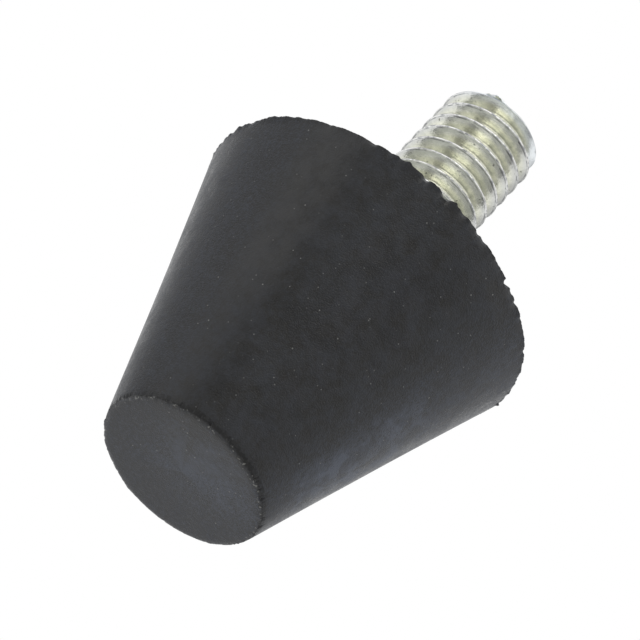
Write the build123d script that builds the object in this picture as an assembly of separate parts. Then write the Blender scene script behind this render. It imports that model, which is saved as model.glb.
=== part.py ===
from build123d import *

import math
import os

# Conical rubber anti-vibration foot with a threaded stud.
# The stud is pressed through a punched steel disc, and rubber is moulded round
# both, so that only the disc's outer face and the threaded end stay bare.
#
# Frame: origin at the centre of the small contact face, which it stands on,
# +Z along the axis towards the end of the stud. Sizes are in millimetres.

# Rubber cone
wide_diameter = 20.0            # against the machine
small_diameter = 9.8            # on the ground
rubber_height = 17.0

# Punched disc, flush with the wide end
rim_cover = 1.0                 # rubber left round the disc
disc_thickness = 1.5
disc_edge_radius = 0.35         # rolled over by the punch, on the rubber's side

# Threaded end of the stud: a plain cylinder on the crests of an M6 thread
thread_diameter = 5.9
thread_pitch = 1.0
stud_reach = 12.25              # from the disc's outer face to the end
end_chamfer_depth = 0.35        # 45 degrees
end_chamfer_length = 0.35
neck_length = 1.1               # plain length between the disc and the thread

# Splined shoulder in the disc, and the flat head below it
shoulder_diameter = 6.4
shoulder_clearance = 0.02       # to the wall of the disc's hole, on each side
spline_count = 24
spline_depth = 0.25
head_diameter = 10.0
head_thickness = 1.3
head_bevel = 0.3

# A rolled thread starts from a blank of the pitch diameter, which the neck keeps.
thread_triangle_height = thread_pitch * math.sqrt(3) / 2
neck_diameter = thread_diameter - 0.75 * thread_triangle_height

wide_radius = wide_diameter / 2
small_radius = small_diameter / 2
disc_radius = wide_radius - rim_cover
disc_bottom = rubber_height - disc_thickness
thread_radius = thread_diameter / 2
neck_radius = neck_diameter / 2
shoulder_radius = shoulder_diameter / 2
head_radius = head_diameter / 2
head_bottom = disc_bottom - head_thickness
neck_top = rubber_height + neck_length
stud_end = rubber_height + stud_reach


def turned(outline):
    """The solid that a closed outline in X and Z sweeps in one turn round Z."""
    return revolve(make_face(Plane.XZ * outline), Axis.Z)


def standing_cylinder(radius, bottom, height):
    """A cylinder on the Z axis, from its bottom up."""
    stand = (Align.CENTER, Align.CENTER, Align.MIN)
    return Pos(0, 0, bottom) * Cylinder(radius, height, align=stand)


def make_disc_blank():
    """The disc before its hole is punched, with its rolled lower edge."""
    blank = standing_cylinder(disc_radius, disc_bottom, disc_thickness)
    lower_edge = blank.edges().filter_by(GeomType.CIRCLE).sort_by(Axis.Z)[0]
    return fillet(lower_edge, disc_edge_radius)


def make_backing_plate():
    """The disc, with the hole that the stud's shoulder is pressed through."""
    hole_radius = shoulder_radius + shoulder_clearance
    return make_disc_blank() - standing_cylinder(hole_radius, disc_bottom, disc_thickness)


def make_threaded_stud():
    """Head, splined shoulder, plain neck and chamfered threaded end, in one piece."""
    thread_start = neck_top + thread_radius - neck_radius
    outline = Polyline(
        (0, head_bottom),
        (head_radius - head_bevel, head_bottom),
        (head_radius, head_bottom + head_bevel),
        (head_radius, disc_bottom),
        (shoulder_radius, disc_bottom),
        (shoulder_radius, rubber_height),
        (neck_radius, rubber_height),
        (neck_radius, neck_top),
        (thread_radius, thread_start),
        (thread_radius, stud_end - end_chamfer_length),
        (thread_radius - end_chamfer_depth, stud_end),
        (0, stud_end),
        close=True,
    )
    corner_up = (Align.MIN, Align.MIN, Align.MIN)
    groove_side = spline_depth * math.sqrt(2)
    groove = Box(groove_side, groove_side, disc_thickness, align=corner_up)
    groove = Pos(shoulder_radius - spline_depth, 0, disc_bottom) * Rot(0, 0, -45) * groove
    step = 360 / spline_count
    return turned(outline) - [Rot(0, 0, step * turn) * groove for turn in range(spline_count)]


def make_rubber_body(stud):
    """The moulded cone, solid but for the disc and the stud's head bonded into it."""
    outline = Polyline(
        (0, 0),
        (small_radius, 0),
        (wide_radius, rubber_height),
        (0, rubber_height),
        close=True,
    )
    return turned(outline) - make_disc_blank() - stud


threaded_stud = make_threaded_stud()
sub_parts = {
    "rubber_body": make_rubber_body(threaded_stud),
    "backing_plate": make_backing_plate(),
    "threaded_stud": threaded_stud,
}

os.makedirs("parts", exist_ok=True)
for name, solid in sub_parts.items():
    export_step(solid, f"parts/{name}.step")
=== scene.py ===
# A conical rubber anti-vibration foot. It stands on its small end, with a zinc-plated
# stud upright out of its wide end. The sections follow it as it is put together:
# stud, disc, rubber, and then the camera and the studio. Lengths are in metres.

import math

import bmesh
import bpy
from mathutils import Matrix, Vector, noise


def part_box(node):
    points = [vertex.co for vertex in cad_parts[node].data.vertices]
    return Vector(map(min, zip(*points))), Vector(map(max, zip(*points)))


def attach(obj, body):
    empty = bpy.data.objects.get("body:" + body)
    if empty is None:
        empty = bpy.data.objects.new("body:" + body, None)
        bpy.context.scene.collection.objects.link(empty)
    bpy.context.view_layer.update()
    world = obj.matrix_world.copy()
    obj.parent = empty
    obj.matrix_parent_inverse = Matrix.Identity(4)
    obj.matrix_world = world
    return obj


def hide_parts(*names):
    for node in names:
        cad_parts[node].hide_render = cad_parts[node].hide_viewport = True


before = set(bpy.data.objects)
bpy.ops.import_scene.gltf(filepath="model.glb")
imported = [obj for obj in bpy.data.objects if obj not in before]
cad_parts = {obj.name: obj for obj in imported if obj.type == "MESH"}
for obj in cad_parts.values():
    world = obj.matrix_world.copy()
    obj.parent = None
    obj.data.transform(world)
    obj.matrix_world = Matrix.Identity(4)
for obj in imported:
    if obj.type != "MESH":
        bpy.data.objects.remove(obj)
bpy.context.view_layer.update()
MM = 0.001


# Threaded stud: cold-headed and rolled from steel wire, then zinc plated. Its splined
# shoulder is pressed through the disc, its head is moulded into the rubber, and the
# right-hand thread stands clear of the wide end.

stud_low, stud_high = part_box("threaded_stud")
plate_low, plate_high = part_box("backing_plate")
thread_length = stud_high.z - plate_high.z

CREST_RADIUS = 2.95 * MM
PITCH = 1.0 * MM
ROOT_RADIUS = CREST_RADIUS - 0.60 * PITCH
THREAD_PHASE = 0.22                 # turns
SEAM_DEPTH = 0.030 * MM
NECK_RADIUS = 2.625 * MM
NECK_LENGTH = 1.1 * MM
RUN_OUT = 1.3 * MM
END_CHAMFER_DEPTH = 0.35 * MM
END_CHAMFER_LENGTH = 0.35 * MM
STUD_LEAN = (0.018, -0.012)         # across and deep, for each unit of height

# Shares of the pitch: the crest's flat, its rise over the flanks, the rounding of its
# corners, and the seam's half width and how far it wanders.
CREST_FLAT = 0.08
CREST_RISE = 0.004
CORNER_ROUNDING = 0.03
SEAM_WIDTH = 0.025
SEAM_WANDER = 0.02
CREST_SLOPE = 0.14                  # the drop across the flat, as a share of its width
TURN_CHANGE = 0.7                   # how much the seam's random pattern changes in a turn

# The burr that sawing left on the end: its middle and its half width in degrees round the
# axis, and how far it stands out. Then the height and the inner radius of the metal that it
# takes in, and how fine its teeth are.
END_BURR = (249.0, 17.0, 0.28 * MM)
BURR_HEIGHT = 0.32 * MM
BURR_INNER_RADIUS = 2.0 * MM
BURR_TEETH = 6000.0

SHOULDER_RADIUS = 3.2 * MM
SPLINES = 24
SPLINE_DEPTH = 0.25 * MM
HEAD_RADIUS = 5.0 * MM
HEAD_BEVEL = 0.3 * MM

STUD_SEGMENTS = 160
ROWS_PER_TURN = 32
CREST_CROWDING = 0.60
WELD_DISTANCE = 0.002 * MM


class Wire:
    """A node's output. Python's operators on it add Math nodes, so a rule reads as a formula."""

    def __init__(self, socket):
        self.socket = socket

    def math(self, operation, *others):
        tree = Tree(self.socket.id_data)
        return tree.add("ShaderNodeMath", {"operation": operation}, (self, *others))

    def __add__(self, other):
        return self.math("ADD", other)

    __radd__ = __add__

    def __sub__(self, other):
        return self.math("SUBTRACT", other)

    def __rsub__(self, other):
        return self.math("MULTIPLY_ADD", -1.0, other)

    def __mul__(self, other):
        return self.math("MULTIPLY", other)

    __rmul__ = __mul__

    def __truediv__(self, other):
        return self.math("DIVIDE", other)

    def at_most(self, other):
        return self.math("MINIMUM", other)

    def at_least(self, other):
        return self.math("MAXIMUM", other)

    def ramp(self, low, high):
        """0 below low, 1 above high and smooth between them."""
        tree = Tree(self.socket.id_data)
        settings = {"interpolation_type": "SMOOTHSTEP"}
        return tree.add("ShaderNodeMapRange", settings, {0: self, 1: low, 2: high})

    def mix(self, first, second):
        """A colour: first where this is 0, second where it is 1."""
        tree = Tree(self.socket.id_data)
        return tree.add("ShaderNodeMix", {"data_type": "RGBA"}, {0: self, 6: first, 7: second}, 2)


class Tree:
    """A node tree of a modifier, a material or the world."""

    def __init__(self, tree):
        self.tree = tree

    def add(self, kind, settings=None, inputs=(), output=0):
        """Add a node: its settings first, then the value or link of each socket."""
        node = self.tree.nodes.new(kind)
        for name, value in (settings or {}).items():
            setattr(node, name, value)
        pairs = inputs.items() if isinstance(inputs, dict) else enumerate(inputs)
        for key, value in pairs:
            if isinstance(value, Wire):
                self.tree.links.new(value.socket, node.inputs[key])
            else:
                node.inputs[key].default_value = value
        return Wire(node.outputs[output]) if node.outputs else node

    def part(self, vector, axis):
        """The X, Y or Z of a vector."""
        return self.add("ShaderNodeSeparateXYZ", {}, (vector,), axis)

    def pattern(self, place, scale, detail, roughness=0.5):
        """Random clouds from 0 to 1, mostly near 0.5, finer with a larger scale."""
        inputs = {"Vector": place, "Scale": scale, "Detail": detail, "Roughness": roughness}
        return self.add("ShaderNodeTexNoise", {}, inputs)


def thread_group():
    """The modifier's tree, with its inputs named, and a function that gives their wires."""
    group = bpy.data.node_groups.new("rolled_thread", "GeometryNodeTree")
    sockets = group.interface
    sockets.new_socket("Geometry", in_out="INPUT", socket_type="NodeSocketGeometry")
    for name in (
        "Crest Radius", "Root Radius", "Pitch", "Phase", "Length", "Seam Depth",
        "Neck Radius", "Neck Length", "Run-out", "Chamfer Depth", "Chamfer Length",
    ):
        sockets.new_socket(name, in_out="INPUT", socket_type="NodeSocketFloat")
    for name in ("Segments", "Rows Per Turn"):
        sockets.new_socket(name, in_out="INPUT", socket_type="NodeSocketInt")
    sockets.new_socket("Material", in_out="INPUT", socket_type="NodeSocketMaterial")
    sockets.new_socket("Geometry", in_out="OUTPUT", socket_type="NodeSocketGeometry")
    inputs = group.nodes.new("NodeGroupInput")
    return group, lambda name: Wire(inputs.outputs[name])


def rolled_profile(tree, given, around, height):
    """The radius of the rolled thread. Rolling pushes the metal up on both sides of the
    crest, and where the two lips stand apart, a seam is left between them."""
    pitch = given("Pitch")
    crest = given("Crest Radius")

    # How far beside the middle of the crest, in pitches, negative below it.
    beside = (height / pitch - around - given("Phase") + 0.5).math("FRACT") - 0.5
    from_crest = beside.math("ABSOLUTE")
    triangle = pitch * (math.sqrt(3) / 2)
    rounding = pitch * CORNER_ROUNDING
    flank = crest - (from_crest - CREST_FLAT / 2) * 2 * triangle
    flat = crest - (beside + CREST_FLAT / 2) * CREST_SLOPE * pitch
    groove = flank.math("SMOOTH_MIN", flat + pitch * CREST_RISE, rounding)
    groove = groove.math("SMOOTH_MAX", given("Root Radius"), rounding)

    # Where the lips part is random along the thread, and differs from turn to turn.
    turned = around * math.tau
    along_crest = (height - around * pitch) * (TURN_CHANGE / PITCH)
    spot = tree.add(
        "ShaderNodeCombineXYZ", {}, (turned.math("COSINE"), turned.math("SINE"), along_crest)
    )
    rough = tree.pattern(spot, 3.5, 3.0)
    parted = rough.ramp(0.47, 0.58)
    from_seam = (from_crest + (rough - 0.5) * SEAM_WANDER).math("ABSOLUTE")
    seam = 1 - (from_seam / SEAM_WIDTH).at_most(1.0)
    return groove - seam * parted * given("Seam Depth")


def thread_modifier_tree():
    """The threaded length on a grid whose rows climb one pitch in each turn and crowd
    towards the crest. Rows past the ends lie on the end circles."""
    group, given = thread_group()
    tree = Tree(group)
    pitch = given("Pitch")
    length = given("Length")
    turns = (length / pitch).math("CEIL") + 2
    rows = turns * given("Rows Per Turn")
    grid = tree.add("GeometryNodeMeshGrid", {}, (1.0, 1.0, given("Segments") + 1, rows + 1))
    place = tree.add("GeometryNodeInputPosition")
    around = tree.part(place, "X") + 0.5
    even = (tree.part(place, "Y") + 0.5) * turns
    swing = ((even - given("Phase")) * math.tau).math("SINE")
    climb = (even - swing * (CREST_CROWDING / math.tau) - 1 + around) * pitch
    height = climb.at_least(0.0).at_most(length)

    # The plain neck runs out into the thread, the end is chamfered, and the rows past it
    # close the end face.
    neck = given("Neck Radius")
    cut = height.ramp(given("Neck Length"), given("Neck Length") + given("Run-out"))
    radius = neck + (rolled_profile(tree, given, around, height) - neck) * cut
    past_edge = (height - length) / given("Chamfer Length") + 1
    radius = radius.at_most(given("Crest Radius") - past_edge * given("Chamfer Depth"))
    inwards = (climb - length).at_least(0.0) / (pitch * 0.5)
    radius = radius * (1 - inwards.at_most(1.0))

    angle = around * math.tau
    round_place = (angle.math("COSINE") * radius, angle.math("SINE") * radius, height)
    wrapped = {"Geometry": grid, "Position": tree.add("ShaderNodeCombineXYZ", {}, round_place)}
    moved = tree.add("GeometryNodeSetPosition", {}, wrapped)
    weld = {"Geometry": moved, "Distance": WELD_DISTANCE}
    welded = tree.add("GeometryNodeMergeByDistance", {}, weld)
    real = tree.add("GeometryNodeRealizeInstances", {}, (welded,))
    finish = {"Geometry": real, "Material": given("Material")}
    tree.add("NodeGroupOutput", {}, (tree.add("GeometryNodeSetMaterial", {}, finish),))
    return group


def empty_material(name):
    """A material without nodes, and its tree."""
    material = bpy.data.materials.new(name)
    material.use_nodes = True
    material.node_tree.nodes.clear()
    return material, Tree(material.node_tree)


CREST_TINT = (1.0, 1.0, 0.99, 1)
ROOT_TINT = (1.0, 0.995, 0.87, 1)
PIT_DARK = (0.10, 0.10, 0.07, 1)
FLANK_SHADE_GREY = (0.35, 0.357, 0.36, 1)
FOLD_SHADE_DARK = (0.16, 0.17, 0.18, 1)
CREST_HIGHLIGHT_GREY = (0.51, 0.52, 0.53, 1)
CREST_HIGHLIGHT_WHITE = (1.0, 1.0, 0.98, 1)
SAWN_END_AND_LIGHT = (0.84, 0.88, 0.91, 1)


def thread_light_and_sawn_end(colour, up, around, depth, patches, streaks, blotches):
    """The thread's painted light and shade: a grey painted shade on the rolled side below each
    crest, a darker painted shade in the fold under its lip, and a broken painted highlight, white
    and grey, on the crest itself. The end is paler and colder, partly where it was sawn and
    partly a painted reflection."""
    threaded = up.ramp(0.02 * MM, 0.30 * MM)
    beside = (up / PITCH - around - THREAD_PHASE + 0.5).math("FRACT") - 0.5
    below = (1 - beside.ramp(-0.06, -0.04)) * threaded
    off_crest = depth.ramp(0.03, 0.08)
    # Painted shade: a grey band on the lower flank just below each crest.
    rolled = beside.ramp(-0.28, -0.14) * off_crest * below
    colour = (rolled * (0.10 + patches.ramp(0.40, 0.60) * 0.22)).mix(colour, FLANK_SHADE_GREY)
    # Painted shade: darker in the fold under each crest's lip.
    fold = depth.ramp(0.04, 0.08) * (1 - depth.ramp(0.12, 0.20)) * below
    colour = (fold * (0.10 + streaks.ramp(0.42, 0.60) * 0.60)).mix(colour, FOLD_SHADE_DARK)
    # Painted highlight: the crest is painted white, broken by grey, for its bright glinting line.
    crest_highlight = blotches.ramp(0.38, 0.54).mix(CREST_HIGHLIGHT_GREY, CREST_HIGHLIGHT_WHITE)
    colour = ((1 - off_crest) * threaded * 0.92).mix(colour, crest_highlight)
    # Partly the sawn end's own colour, partly a painted reflection of bright light above: the
    # last turns are paler and colder.
    sawn_and_lit = up.ramp(thread_length - 0.60 * MM, thread_length - 0.36 * MM)
    return (sawn_and_lit * 0.9).mix(colour, SAWN_END_AND_LIGHT)


def zinc_plating(name, bright, dull, roughness):
    """Zinc plating: pale metal with dull patches, drawn streaks and small pits, yellower
    towards the root of the thread and smooth on its crest."""
    material, tree = empty_material(name)
    place = tree.add("ShaderNodeTexCoord", output="Object")
    squeezed = tree.add(
        "ShaderNodeVectorMath", {"operation": "MULTIPLY"}, (place, (1.0, 1.0, 3.5))
    )
    patches = tree.pattern(place, 800.0, 4.0, 0.65)
    streaks = tree.pattern(squeezed, 2600.0, 4.0)
    blotches = tree.pattern(place, 3200.0, 3.0)
    pits = tree.pattern(place, 5200.0, 1.0)
    grain = tree.pattern(place, 9000.0, 2.0)

    # Depth in the thread, from 0 on the crest to 1 at the root, round the leaning axis.
    up = (tree.part(place, "Z") - plate_high.z).at_least(0.0)
    across = tree.part(place, "X") - up * STUD_LEAN[0]
    deep = tree.part(place, "Y") - up * STUD_LEAN[1]
    reach = (across * across + deep * deep).math("SQRT")
    depth = (CREST_RADIUS - reach) / (CREST_RADIUS - ROOT_RADIUS)
    depth = depth.at_least(0.0).at_most(1.0)
    around = deep.math("ARCTAN2", across) / math.tau
    rough_part = depth.ramp(0.03, 0.22).at_least(1 - up.ramp(0.02 * MM, 0.30 * MM))
    pitted = pits.ramp(0.73, 0.77) * rough_part

    tone = patches.ramp(0.36, 0.64) * 0.45 + streaks.ramp(0.35, 0.65) * 0.25
    tone = tone + blotches.ramp(0.38, 0.62) * 0.3
    tone = tone * rough_part + (1 - rough_part) * 0.8
    tint = depth.ramp(0.05, 0.70).mix(CREST_TINT, ROOT_TINT)
    colour = tree.add(
        "ShaderNodeVectorMath", {"operation": "MULTIPLY"}, (tone.mix(dull, bright), tint)
    )
    colour = (pitted * 0.75).mix(colour, PIT_DARK)
    colour = thread_light_and_sawn_end(colour, up, around, depth, patches, streaks, blotches)

    relief = streaks * 0.5 + grain * 0.2 + blotches * 0.3 - pitted * 0.6
    relief = relief * (rough_part * 0.8 + 0.2)
    bump = tree.add(
        "ShaderNodeBump", {}, {"Strength": 0.7, "Distance": 0.03 * MM, "Height": relief}
    )
    uneven = (streaks - 0.5) * 0.2 * rough_part - (1 - rough_part) * 0.05
    surface = tree.add(
        "ShaderNodeBsdfPrincipled",
        {},
        {"Base Color": colour, "Metallic": 1.0, "Roughness": roughness + uneven, "Normal": bump},
    )
    tree.add("ShaderNodeOutputMaterial", {}, {"Surface": surface})
    return material


def ring_rows(mesh_tool, rows, segments):
    """Join rings of points, from the first row to the last, by faces. A row is a function
    from an angle to a radius and a height, or a bare height for a closed middle."""
    previous = None
    for row in rows:
        if callable(row):
            ring = []
            for step in range(segments):
                angle = math.tau * step / segments
                radius, height = row(angle)
                point = (radius * math.cos(angle), radius * math.sin(angle), height)
                ring.append(mesh_tool.verts.new(point))
        else:
            ring = [mesh_tool.verts.new((0.0, 0.0, row))]
        if previous:
            for step in range(segments):
                corners = []
                edges = ((previous, step), (previous, step + 1), (ring, step + 1), (ring, step))
                for side, at in edges:
                    corner = side[at % len(side)]
                    if corner not in corners:
                        corners.append(corner)
                mesh_tool.faces.new(corners)
        previous = ring


def level(radius, height):
    """A row that is a plain circle."""
    return lambda angle: (radius, height)


def dip(angle, centre, half_width, depth):
    """How deep a smooth dip is at an angle. Its centre and half width are in degrees."""
    apart = abs((math.degrees(angle) - centre + 180) % 360 - 180) / half_width
    return depth * math.cos(apart * math.pi / 2) ** 2 if apart < 1 else 0.0


def in_scene(name, data):
    """A new object of the given mesh, lamp or camera, linked into the scene."""
    thing = bpy.data.objects.new(name, data)
    bpy.context.scene.collection.objects.link(thing)
    return thing


def finished_piece(name, mesh_tool, material, sharp_degrees):
    """A mesh object at the origin, welded, facing outwards and smooth up to the given angle."""
    bmesh.ops.remove_doubles(mesh_tool, verts=mesh_tool.verts, dist=WELD_DISTANCE)
    bmesh.ops.recalc_face_normals(mesh_tool, faces=mesh_tool.faces)
    mesh = bpy.data.meshes.new(name)
    mesh_tool.to_mesh(mesh)
    mesh_tool.free()
    mesh.shade_smooth()
    mesh.set_sharp_from_angle(angle=math.radians(sharp_degrees))
    mesh.materials.append(material)
    return in_scene(name, mesh)


stud_zinc = zinc_plating(
    "stud_zinc", bright=(0.83, 0.835, 0.82, 1), dull=(0.62, 0.635, 0.62, 1), roughness=0.20
)

thread_base = in_scene("thread_base", bpy.data.meshes.new("thread_base"))
thread_modifier = thread_base.modifiers.new("rolled_thread", "NODES")
thread_modifier.node_group = thread_modifier_tree()
thread_sizes = {
    "Crest Radius": CREST_RADIUS,
    "Root Radius": ROOT_RADIUS,
    "Pitch": PITCH,
    "Phase": THREAD_PHASE,
    "Length": thread_length,
    "Seam Depth": SEAM_DEPTH,
    "Neck Radius": NECK_RADIUS,
    "Neck Length": NECK_LENGTH,
    "Run-out": RUN_OUT,
    "Chamfer Depth": END_CHAMFER_DEPTH,
    "Chamfer Length": END_CHAMFER_LENGTH,
    "Segments": STUD_SEGMENTS,
    "Rows Per Turn": ROWS_PER_TURN,
    "Material": stud_zinc,
}
for item in thread_modifier.node_group.interface.items_tree:
    if item.in_out == "INPUT" and item.name in thread_sizes:
        thread_modifier[item.identifier] = thread_sizes[item.name]
depsgraph = bpy.context.evaluated_depsgraph_get()
thread_mesh = bpy.data.meshes.new_from_object(thread_base.evaluated_get(depsgraph))
thread_base.modifiers.remove(thread_modifier)
bpy.data.objects.remove(thread_base)


def splined(height):
    """A row round the shoulder, with a V-shaped groove at each spline."""
    pitch_angle = math.tau / SPLINES

    def row(angle):
        from_groove = abs((angle + pitch_angle / 2) % pitch_angle - pitch_angle / 2)
        return SHOULDER_RADIUS - max(0.0, SPLINE_DEPTH - from_groove * SHOULDER_RADIUS), height

    return row


stud_tool = bmesh.new()
stud_tool.from_mesh(thread_mesh)
for corner in stud_tool.verts:
    reach = corner.co.xy.length
    if corner.co.z > thread_length - BURR_HEIGHT and reach > BURR_INNER_RADIUS:
        turn = math.atan2(corner.co.y, corner.co.x)
        torn = 0.85 + noise.noise(corner.co * BURR_TEETH) * 0.8
        stretch = 1 + dip(turn, *END_BURR) * torn / reach
        corner.co.x *= stretch
        corner.co.y *= stretch
    corner.co.x += STUD_LEAN[0] * corner.co.z
    corner.co.y += STUD_LEAN[1] * corner.co.z
    corner.co.z += plate_high.z
ring_rows(
    stud_tool,
    (
        stud_low.z,
        level(HEAD_RADIUS - HEAD_BEVEL, stud_low.z),
        level(HEAD_RADIUS, stud_low.z + HEAD_BEVEL),
        level(HEAD_RADIUS, plate_low.z),
        splined(plate_low.z),
        splined(plate_high.z),
        level(NECK_RADIUS, plate_high.z),
    ),
    STUD_SEGMENTS,
)
stud = finished_piece("stud", stud_tool, stud_zinc, sharp_degrees=40)
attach(stud, "root")
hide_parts("threaded_stud")


# Backing plate: punched steel disc, zinc plated, bonded flush into the wide end. The
# stud's shoulder fills its hole.

PLATE_HOLE_RADIUS = 3.22 * MM
PLATE_HOLE_EDGE = 0.12 * MM
PLATE_ROLLOVER = 0.35 * MM
ROLLOVER_STEPS = 6
PLATE_CORNER = 0.05 * MM
PLATE_SEGMENTS = 240

plate_radius = plate_high.x
rollover_rows = []
for step in range(ROLLOVER_STEPS + 1):
    swing = math.radians(90 * step / ROLLOVER_STEPS)
    radius = plate_radius - PLATE_ROLLOVER * (1 - math.sin(swing))
    rollover_rows.append(level(radius, plate_low.z + PLATE_ROLLOVER * (1 - math.cos(swing))))
plate_zinc = zinc_plating(
    "plate_zinc", bright=(0.66, 0.66, 0.61, 1), dull=(0.52, 0.54, 0.50, 1), roughness=0.42
)
plate_tool = bmesh.new()
ring_rows(
    plate_tool,
    (
        level(PLATE_HOLE_RADIUS, plate_high.z - PLATE_HOLE_EDGE),
        level(PLATE_HOLE_RADIUS, plate_low.z),
        *rollover_rows,
        level(plate_radius, plate_high.z - PLATE_CORNER),
        level(plate_radius - PLATE_CORNER, plate_high.z),
        level(PLATE_HOLE_RADIUS + PLATE_HOLE_EDGE, plate_high.z),
        level(PLATE_HOLE_RADIUS, plate_high.z - PLATE_HOLE_EDGE),
    ),
    PLATE_SEGMENTS,
)
plate = finished_piece("backing_disc", plate_tool, plate_zinc, sharp_degrees=30)
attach(plate, "root")
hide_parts("backing_plate")


# Rubber body: one piece of black rubber moulded round the disc and the stud's head. It
# shrank a little hollow along its flank. Torn flash is left on both rims, with a faint
# bluish bloom and some dust on the skin.

rubber_low, rubber_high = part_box("rubber_body")
WIDE_RADIUS = rubber_high.x
SMALL_RADIUS = 4.9 * MM
FLANK_HOLLOW = 0.05 * MM
FLANK_UNEVEN = 0.012 * MM
RUBBER_SEGMENTS = 1080
FLANK_ROWS = 56
FLANK_START = 0.02                  # shares of the height
FLANK_END = 0.987
WIDE_FLASH = 0.045 * MM
SMALL_FLASH = 0.065 * MM

# Plain circles in the small face, then its rim: how far each row is inset from the sharp
# corner, its height, and its share of the flash. Behind the rim, the height and the depth of
# each row of the groove.
SMALL_FACE_CIRCLES = (2.5 * MM, 4.3 * MM)
SMALL_RIM_ROWS = (
    (0.34 * MM, 0.0, 0.1),
    (0.20 * MM, 0.015 * MM, 0.3),
    (0.09 * MM, 0.045 * MM, 0.7),
    (0.03 * MM, 0.085 * MM, 1.0),
)
GROOVE_ROWS = (
    (0.12 * MM, 0.06 * MM),
    (0.18 * MM, 0.06 * MM),
    (0.27 * MM, 0.02 * MM),
)

# Rows over the wide rim: the inset from the sharp corner, the drop below the end face, and
# the share of the flash. Inside them the end face is plain again.
WIDE_RIM_ROWS = (
    (0.03 * MM, 0.11 * MM, 0.55),
    (0.01 * MM, 0.06 * MM, 0.9),
    (0.0, 0.0, 1.0),
    (0.12 * MM, 0.0, 1.0),
)
PLAIN_RING = 0.2 * MM

# Where the wide rim was cut back with its flash, and the chips and scraps of flash on its
# edge: the angle round the axis and the half width in degrees, and the depth. A scrap stands
# out, so its depth is negative.
RIM_CUT = (305.0, 26.0, 0.13 * MM)
RIM_CHIPS = (
    (5.5, 0.8, -0.14 * MM),
    (192.0, 2.0, -0.06 * MM),
    (208.5, 4.0, -0.07 * MM),
    (214.0, 4.0, -0.06 * MM),
    (219.5, 2.2, -0.11 * MM),
    (246.7, 2.2, 0.13 * MM),
    (252.8, 1.4, 0.05 * MM),
    (255.3, 1.0, -0.08 * MM),
    (259.2, 1.6, -0.22 * MM),
    (266.0, 2.2, 0.27 * MM),
    (273.8, 3.0, 0.32 * MM),
    (277.4, 1.0, -0.15 * MM),
    (281.2, 1.8, 0.09 * MM),
    (285.2, 2.4, 0.10 * MM),
    (288.6, 1.8, 0.24 * MM),
    (291.5, 2.2, 0.16 * MM),
    (300.0, 2.5, 0.08 * MM),
    (307.6, 2.2, 0.36 * MM),
    (311.0, 1.6, 0.14 * MM),
    (315.4, 2.0, 0.21 * MM),
    (321.2, 1.3, 0.11 * MM),
    (335.0, 1.5, 0.06 * MM),
)


def ragged(angle, lumps, seed):
    """Uneven torn edge: about 1 to -1 round the rim, with so many lumps in a turn."""
    ring = lumps / math.tau
    place = Vector((math.cos(angle) * ring, math.sin(angle) * ring, seed))
    return noise.fractal(place, 0.7, 2.1, 4, noise_basis="PERLIN_ORIGINAL") * 1.6


def flank_radius(share, angle):
    """Radius of the flank at a share of its height, hollow between its ends."""
    straight = SMALL_RADIUS + (WIDE_RADIUS - SMALL_RADIUS) * share
    hollow = FLANK_HOLLOW * math.sin(math.pi * share ** 1.2)
    ring = Vector((math.cos(angle), math.sin(angle), share * 2.5)) * 1.3
    return straight - hollow + FLANK_UNEVEN * noise.noise(ring) * math.sin(math.pi * share)


def flank_row(share):
    """A row of the flank. In its last twelfth it follows the cut in the wide rim."""
    near_rim = max(0.0, share * 12 - 11)
    return lambda angle: (
        flank_radius(share, angle) - near_rim * dip(angle, *RIM_CUT),
        rubber_high.z * share,
    )


def small_rim(inset, height, flash):
    """A row near the small face's edge: inset from the sharp corner, with part of the flash."""
    return lambda angle: (
        SMALL_RADIUS - inset + flash * SMALL_FLASH * ragged(angle, lumps=34, seed=3.0),
        height,
    )


def flaky_groove(height, depth):
    """A row of the shallow groove behind the small face's lip, deeper where flakes came off."""

    def row(angle):
        flakes = max(0.0, ragged(angle, lumps=90, seed=11.0)) * 1.2 + 0.25
        return flank_radius(height / rubber_high.z, angle) - depth * flakes, height

    return row


def wide_rim(inset, drop, flash):
    """A row near the wide rim: inset from the sharp corner, with part of the flash and chips."""

    def row(angle):
        chips = sum(dip(angle, *chip) for chip in RIM_CHIPS)
        torn = WIDE_FLASH * ragged(angle, lumps=110, seed=7.0) - chips
        return WIDE_RADIUS - inset + flash * torn - dip(angle, *RIM_CUT), rubber_high.z - drop

    return row


SKIN_WARM = (0.0160, 0.0153, 0.0143, 1)
SKIN_COOL = (0.0150, 0.0153, 0.0162, 1)
SIDE_SHADE_BLUE = (0.0118, 0.0126, 0.0160, 1)
BLOOM_AND_SHEEN_BLUE = (0.073, 0.0855, 0.115, 1)
LIGHT_BAND_GREY = (0.044, 0.043, 0.041, 1)
GROOVE_SHADE_BLACK = (0.003, 0.003, 0.003, 1)
DUST_PALE = (0.26, 0.26, 0.25, 1)
CRUMB_PALE = (0.26, 0.26, 0.24, 1)
SHEEN_BLUE = (0.80, 0.88, 1.0, 1)

# The middle of the thicker bloom on the small face, partly a painted pool of light, and the sides
# of the flank, in degrees round the axis: one where the bloom is partly painted sheen, one
# painted with a lighter band that stands in for a mirrored light.
FACE_BLOOM_AND_LIGHT_MIDDLE = (0.8 * MM, -1.3 * MM)
BLOOM_AND_SHEEN_SIDE = -17.0
LIGHT_BAND_SIDE = 236.0


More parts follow.
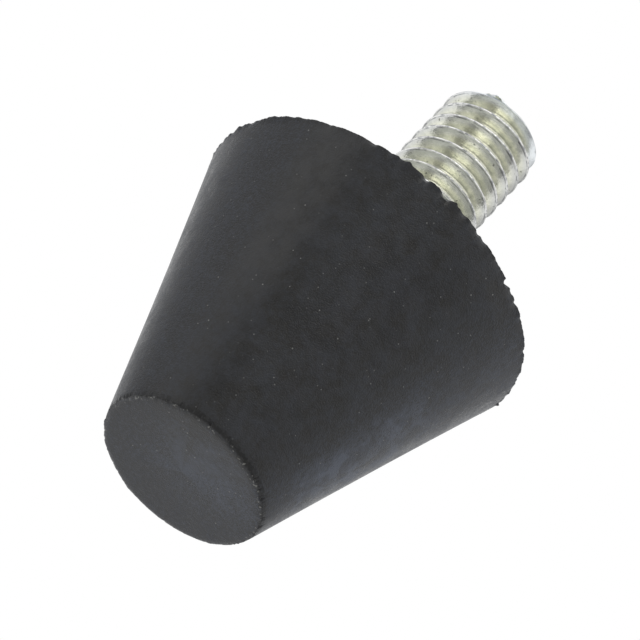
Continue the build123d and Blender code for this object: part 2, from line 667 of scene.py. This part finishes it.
class RubberSkin:
    """What the rubber's rules share: places on it, and patterns from coarse to fine."""

    def __init__(self, tree):
        place = tree.add("ShaderNodeTexCoord", output="Object")
        self.place = place
        self.across = tree.part(place, "X")
        self.deep = tree.part(place, "Y")
        self.height = tree.part(place, "Z")
        self.reach = (self.across * self.across + self.deep * self.deep).math("SQRT")
        self.on_face = 1 - self.height.ramp(0.01 * MM, 0.06 * MM)
        self.sideways = self.turned_to(90.0).ramp(-0.88, -0.45)
        self.clouds = tree.pattern(place, 330.0, 5.0, 0.65)
        self.tint = tree.pattern(place, 900.0, 3.0)
        self.blotches = tree.pattern(place, 1100.0, 3.0)
        self.mottle = tree.pattern(place, 3600.0, 3.0)
        self.crumbs = tree.pattern(place, 6000.0, 1.0)
        self.grain = tree.pattern(place, 11000.0, 2.0)
        self.cloudy = self.clouds.ramp(0.38, 0.64)
        self.spread = self.blotches.ramp(0.34, 0.66)

    def turned_to(self, degrees):
        """How far a point of the flank is turned to one side, from -1 to 1."""
        side = math.radians(degrees)
        towards = self.across * math.cos(side) + self.deep * math.sin(side)
        return towards / self.reach.at_least(0.1 * MM)

    def from_point(self, across, deep):
        """The distance from the upright line through a point, given by its X and Y."""
        aside = self.across - across
        beyond = self.deep - deep
        return (aside * aside + beyond * beyond).math("SQRT")


def bloom_and_painted_light(skin):
    """How much bluish bloom lies on the skin: thin and cloudy all over, and broken up by grain.
    It is thicker in the middle of the small face, partly real bloom and partly a painted pool of
    light, and on one side of the flank, partly real bloom and partly painted sheen."""
    clouds, blotches, mottle = skin.clouds - 0.5, skin.blotches - 0.5, skin.mottle - 0.5
    bloom = skin.cloudy * 0.2 + skin.spread * 0.3 + skin.mottle.ramp(0.3, 0.7) * 0.25 - 0.1

    # Partly a painted pool of light: lighter towards the middle of the small face.
    middle = 1 - skin.from_point(*FACE_BLOOM_AND_LIGHT_MIDDLE).ramp(1.4 * MM, 4.6 * MM)
    bloom = bloom + skin.on_face * middle * (blotches * 1.6 + clouds * 2.4 + 0.9)
    bloom = bloom + skin.on_face * (clouds * 1.4 + mottle * 0.8 - 0.2)

    # Partly painted sheen: paler, bluer clouds on one side of the flank, fading upwards.
    to_side = skin.turned_to(BLOOM_AND_SHEEN_SIDE)
    fading = 1 - 0.75 * skin.height.ramp(8.0 * MM, 13.0 * MM)
    side = to_side.ramp(0.90, 0.985) * skin.height.ramp(0.5 * MM, 3.5 * MM) * fading
    veil = skin.tint.ramp(0.44, 0.60) * to_side.ramp(0.955, 0.99)
    bloom = bloom + side * (skin.spread * 0.9 + skin.cloudy * 0.9 + veil * 1.4)

    graininess = skin.sideways * 4.0 + skin.on_face * 2.0 + 0.8
    bloom = bloom + (skin.grain - 0.5) * graininess + mottle * skin.sideways
    return bloom.at_least(-0.3).at_most(3.0)


def groove_shade_and_dust(tree, skin, colour):
    """The colour with painted shade, near black in the shallow groove behind the small face's
    edge, specks of pale dust, one in some of the small cells, and crumbs along the edge."""
    height = skin.height
    groove_end = skin.mottle.ramp(0.36, 0.62) * (0.22 * MM) + 0.13 * MM
    groove = 1 - height.ramp(groove_end, groove_end + 0.08 * MM)
    groove = groove * height.ramp(0.05 * MM, 0.09 * MM)
    # Painted shade: the groove behind the small face's lip is painted near black, where shade
    # falls.
    groove_shade = groove * (skin.blotches.ramp(0.30, 0.50) * 0.6 + 0.4)
    colour = (groove_shade * 0.8).mix(colour, GROOVE_SHADE_BLACK)

    cells = {"Vector": skin.place, "Scale": 3600.0}
    from_middle = tree.add("ShaderNodeTexVoronoi", {}, cells, "Distance")
    cell_colour = tree.add("ShaderNodeTexVoronoi", {}, cells, "Color")
    lottery = tree.add("ShaderNodeSeparateColor", {}, (cell_colour,), "Red")
    speck = (1 - from_middle.ramp(0.05, 0.20)) * lottery.ramp(0.82, 1.03)
    colour = speck.mix(colour, DUST_PALE)

    edge = (1 - height.ramp(0.06 * MM, 0.16 * MM)) * skin.reach.ramp(4.6 * MM, 4.8 * MM)
    return (skin.crumbs.ramp(0.61, 0.68) * edge * 0.6).mix(colour, CRUMB_PALE)


def moulded_rubber(name):
    """Black rubber: dark, satin, with a cloudy bluish bloom, fine grain and pale dust, and
    painted light and shade on its skin.
    """
    material, tree = empty_material(name)
    skin = RubberSkin(tree)
    colour = skin.tint.ramp(0.4, 0.6).mix(SKIN_WARM, SKIN_COOL)
    # Painted shade: the skin is painted darker and bluer where the flank turns away from 270°
    # round the axis, for how light falls on the sides.
    colour = (skin.sideways * 0.8).mix(colour, SIDE_SHADE_BLUE)
    colour = (bloom_and_painted_light(skin) * 0.35).mix(colour, BLOOM_AND_SHEEN_BLUE)
    # Painted reflection: a lighter grey band down the flank, standing in for a broad light
    # mirrored there.
    light_band = skin.turned_to(LIGHT_BAND_SIDE).ramp(0.974, 0.998)
    light_band = light_band * skin.height.ramp(4.5 * MM, 10.0 * MM)
    colour = (light_band * (skin.spread * 0.4 + skin.mottle * 0.3)).mix(colour, LIGHT_BAND_GREY)
    colour = groove_shade_and_dust(tree, skin, colour)

    roughness = 0.35 + (skin.grain - 0.5) * (0.2 + skin.sideways * 0.4)
    roughness = roughness + (skin.blotches - 0.5) * 0.3 + skin.cloudy * 0.06
    relief = skin.grain * 0.65 + skin.mottle * 0.4 + skin.blotches * 0.3
    bump = tree.add(
        "ShaderNodeBump", {}, {"Strength": 0.9, "Distance": 0.035 * MM, "Height": relief}
    )
    surface = tree.add(
        "ShaderNodeBsdfPrincipled",
        {},
        {
            "Base Color": colour,
            "Roughness": roughness,
            "Normal": bump,
            "Sheen Weight": 0.05,
            "Sheen Roughness": 0.40,
            "Sheen Tint": SHEEN_BLUE,
        },
    )
    tree.add("ShaderNodeOutputMaterial", {}, {"Surface": surface})
    return material


black_rubber = moulded_rubber("black_rubber")
flank_step = (FLANK_END - FLANK_START) / FLANK_ROWS
rubber_tool = bmesh.new()
ring_rows(
    rubber_tool,
    (
        rubber_low.z,
        *(level(radius, rubber_low.z) for radius in SMALL_FACE_CIRCLES),
        *(small_rim(*row) for row in SMALL_RIM_ROWS),
        *(flaky_groove(*row) for row in GROOVE_ROWS),
        *(flank_row(FLANK_START + flank_step * row) for row in range(FLANK_ROWS + 1)),
        *(wide_rim(*row) for row in WIDE_RIM_ROWS),
        level(plate_radius + PLAIN_RING, rubber_high.z),
        level(plate_radius, plate_high.z),
        level(plate_radius, plate_low.z),
        level(HEAD_RADIUS, plate_low.z),
        level(HEAD_RADIUS, stud_low.z),
        stud_low.z,
    ),
    RUBBER_SEGMENTS,
)
rubber = finished_piece("moulded_cone", rubber_tool, black_rubber, sharp_degrees=50)
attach(rubber, "root")
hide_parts("rubber_body")


# Camera: a long lens in front of the foot and below it, looking up at the small face, and
# rolled so that the stud points up and to the right in the picture.

LENS_MM = 450.0
SENSOR_MM = 36.0
PICTURE_PIXELS = 640
SMALL_FACE_PIXEL = (181.75, 472.0)  # its middle in the picture, from the upper left corner
SMALL_FACE_SCALE = 19.50 / MM       # pixels for each metre
LOOK_UP = math.radians(34.38)
AXIS_LEAN = math.radians(41.94)

forward = Vector((0.0, math.cos(LOOK_UP), math.sin(LOOK_UP)))
level_right = Vector((1.0, 0.0, 0.0))
level_up = level_right.cross(forward)
right = level_right * math.cos(AXIS_LEAN) + level_up * math.sin(AXIS_LEAN)
up = level_up * math.cos(AXIS_LEAN) - level_right * math.sin(AXIS_LEAN)

pixels_per_radian = PICTURE_PIXELS * LENS_MM / SENSOR_MM
distance = pixels_per_radian / SMALL_FACE_SCALE
aside = (SMALL_FACE_PIXEL[0] - PICTURE_PIXELS / 2) / SMALL_FACE_SCALE
above = (PICTURE_PIXELS / 2 - SMALL_FACE_PIXEL[1]) / SMALL_FACE_SCALE

camera_data = bpy.data.cameras.new("camera")
camera_data.lens = LENS_MM
camera_data.sensor_width = SENSOR_MM
camera_data.clip_start = 0.01
camera_data.clip_end = 10.0
camera = in_scene("camera", camera_data)
camera.location = -(forward * distance + right * aside + up * above)
camera.rotation_mode = "QUATERNION"
camera.rotation_quaternion = Matrix((right, up, -forward)).transposed().to_quaternion()
bpy.context.scene.camera = camera


# Studio: a pale floor that only a camera above it sees, one soft lamp, and surroundings that
# the camera sees as plain white. Metal and glossy rubber mirror that white where it stands
# behind the foot, and elsewhere the lighter and darker patches of a tent round it.

FLOOR_HALF = 1.5
FLOOR_DROP = 0.01 * MM
FLOOR_PALE = (0.86, 0.86, 0.86, 1)
WHITE = (1, 1, 1, 1)
FLOOR_FADE = (0.03, 0.25)           # from the foot: from the pale floor to plain white

floor_material, floor_tree = empty_material("floor")
camera_ray = floor_tree.add("ShaderNodeLightPath", output="Is Camera Ray")
from_below = floor_tree.add("ShaderNodeNewGeometry", output="Backfacing")
floor_place = floor_tree.add("ShaderNodeTexCoord", output="Object")
floor_reach = floor_tree.add(
    "ShaderNodeVectorMath", {"operation": "LENGTH"}, (floor_place,), "Value"
)
near_floor = floor_tree.add("ShaderNodeBsdfDiffuse", {}, {"Color": FLOOR_PALE})
far_floor = floor_tree.add("ShaderNodeEmission", {}, {"Color": WHITE, "Strength": 1.0})
floor_look = floor_tree.add(
    "ShaderNodeMixShader", {}, (floor_reach.ramp(*FLOOR_FADE), near_floor, far_floor)
)
floor_gap = floor_tree.add("ShaderNodeBsdfTransparent")
floor_seen = camera_ray * (1 - from_below)
floor_surface = floor_tree.add("ShaderNodeMixShader", {}, (floor_seen, floor_gap, floor_look))
floor_tree.add("ShaderNodeOutputMaterial", {}, {"Surface": floor_surface})
floor_tool = bmesh.new()
for x, y in ((-1, -1), (1, -1), (1, 1), (-1, 1)):
    floor_tool.verts.new((x * FLOOR_HALF, y * FLOOR_HALF, -FLOOR_DROP))
floor_tool.faces.new(floor_tool.verts)
floor_mesh = bpy.data.meshes.new("floor")
floor_tool.to_mesh(floor_mesh)
floor_tool.free()
floor_mesh.materials.append(floor_material)
floor = in_scene("floor", floor_mesh)


def aimed(azimuth, elevation):
    """The direction at angles in degrees round and above the foot."""
    flat = math.cos(math.radians(elevation))
    return Vector((
        flat * math.cos(math.radians(azimuth)),
        flat * math.sin(math.radians(azimuth)),
        math.sin(math.radians(elevation)),
    ))


FOOT_MIDDLE = Vector((0.0, 0.0, 0.015))
LAMP_AIM = aimed(264, 22)
LAMP_DISTANCE = 0.18

lamp_data = bpy.data.lights.new("key_lamp", "AREA")
lamp_data.shape = "RECTANGLE"
lamp_data.size = 0.13
lamp_data.size_y = 0.05
lamp_data.energy = 0.033
lamp_data.color = (1.0, 0.985, 0.94)
key_lamp = in_scene("key_lamp", lamp_data)
key_lamp.location = FOOT_MIDDLE + LAMP_AIM * LAMP_DISTANCE
key_lamp.rotation_mode = "QUATERNION"
key_lamp.rotation_quaternion = LAMP_AIM.to_track_quat("Z", "Y")

# Patches of the surroundings: how much lighter or darker, the angles round and above the
# foot, and how far from there the patch ends and is at its full strength, in degrees.
TENT_PATCHES = (
    # The small face mirrors this one.
    (0.17, 90, -34, 40, 20),
    # Under the foot, for the thread's lower flanks near the crest.
    (0.44, 142, -40, 38, 8),
    (0.42, 40, -38, 21, 6),
    (0.20, 270, -50, 50, 20),
    (0.20, 157, -56, 26, 8),
    (0.02, 23, -56, 26, 8),
    (1.10, 268, -85, 15, 5),
    # Round the sides, for the rubber's flank and the middle of the thread's flanks.
    (0.50, 206, -4, 24, 12),
    (0.14, 212, 24, 20, 8),
    (0.46, 312, 36, 34, 18),
    (0.20, 352, 20, 20, 8),
    (0.16, 188, 16, 20, 8),
    (-0.15, 148, 12, 28, 12),
    (-0.09, 56, 16, 34, 10),
    # Above the sides, for the crests and roots at the left and right, and the stud's end.
    (0.25, 160, 42, 24, 10),
    (0.12, 14, 40, 26, 10),
    (0.14, 103, 18, 24, 8),
    (0.14, 88, 54, 24, 14),
    (-0.20, 322, 56, 20, 8),
)
CREST_STRIP = 0.45
OVERHEAD = 1.25

world = bpy.data.worlds.new("surroundings")
bpy.context.scene.world = world
world.use_nodes = True
world.node_tree.nodes.clear()
world_tree = Tree(world.node_tree)
direction = world_tree.add("ShaderNodeTexCoord", output="Generated")


def ray_is(kind):
    """1 for a ray of one kind, and 0 for others."""
    return world_tree.add("ShaderNodeLightPath", output=f"Is {kind} Ray")


def facing(axis):
    """How far a direction of the surroundings points along an axis, from -1 to 1."""
    settings = {"operation": "DOT_PRODUCT"}
    return world_tree.add("ShaderNodeVectorMath", settings, (direction, tuple(axis)), "Value")


def patch(azimuth, elevation, outer, inner):
    """1 within the inner angle of a direction, 0 beyond the outer one, in degrees."""
    limits = (math.cos(math.radians(outer)), math.cos(math.radians(inner)))
    return facing(aimed(azimuth, elevation)).ramp(*limits)


away = facing(forward)
upwards = facing((0, 0, 1))
below_top = 1 - upwards.ramp(0.62, 0.80)
brightness = 0.37 + 0.25 * away.ramp(-0.75, 0.3) + 0.38 * away.ramp(0.84, 0.98) * below_top
for lift, *place in TENT_PATCHES:
    brightness = brightness + lift * patch(*place)
strip = upwards.ramp(0.60, 0.72) * (1 - upwards.ramp(0.86, 0.93))
strip = strip * facing(aimed(234, 0)).ramp(0.12, 0.48)
brightness = brightness + CREST_STRIP * strip
brightness = brightness + (OVERHEAD - brightness) * patch(215, 81, 36, 18)

# A strength of 1 is white. Mirroring rays see it only round the camera's own direction.
mirrored = ray_is("Glossy").at_least(ray_is("Transmission"))
backdrop = ray_is("Camera").at_least(mirrored * away.ramp(0.87, 0.98) * below_top)
strength = brightness + (1 - brightness) * backdrop
background = world_tree.add("ShaderNodeBackground", {}, {"Color": WHITE, "Strength": strength})
world_tree.add("ShaderNodeOutputWorld", {}, {"Surface": background})

bpy.context.scene.view_settings.view_transform = "Standard"

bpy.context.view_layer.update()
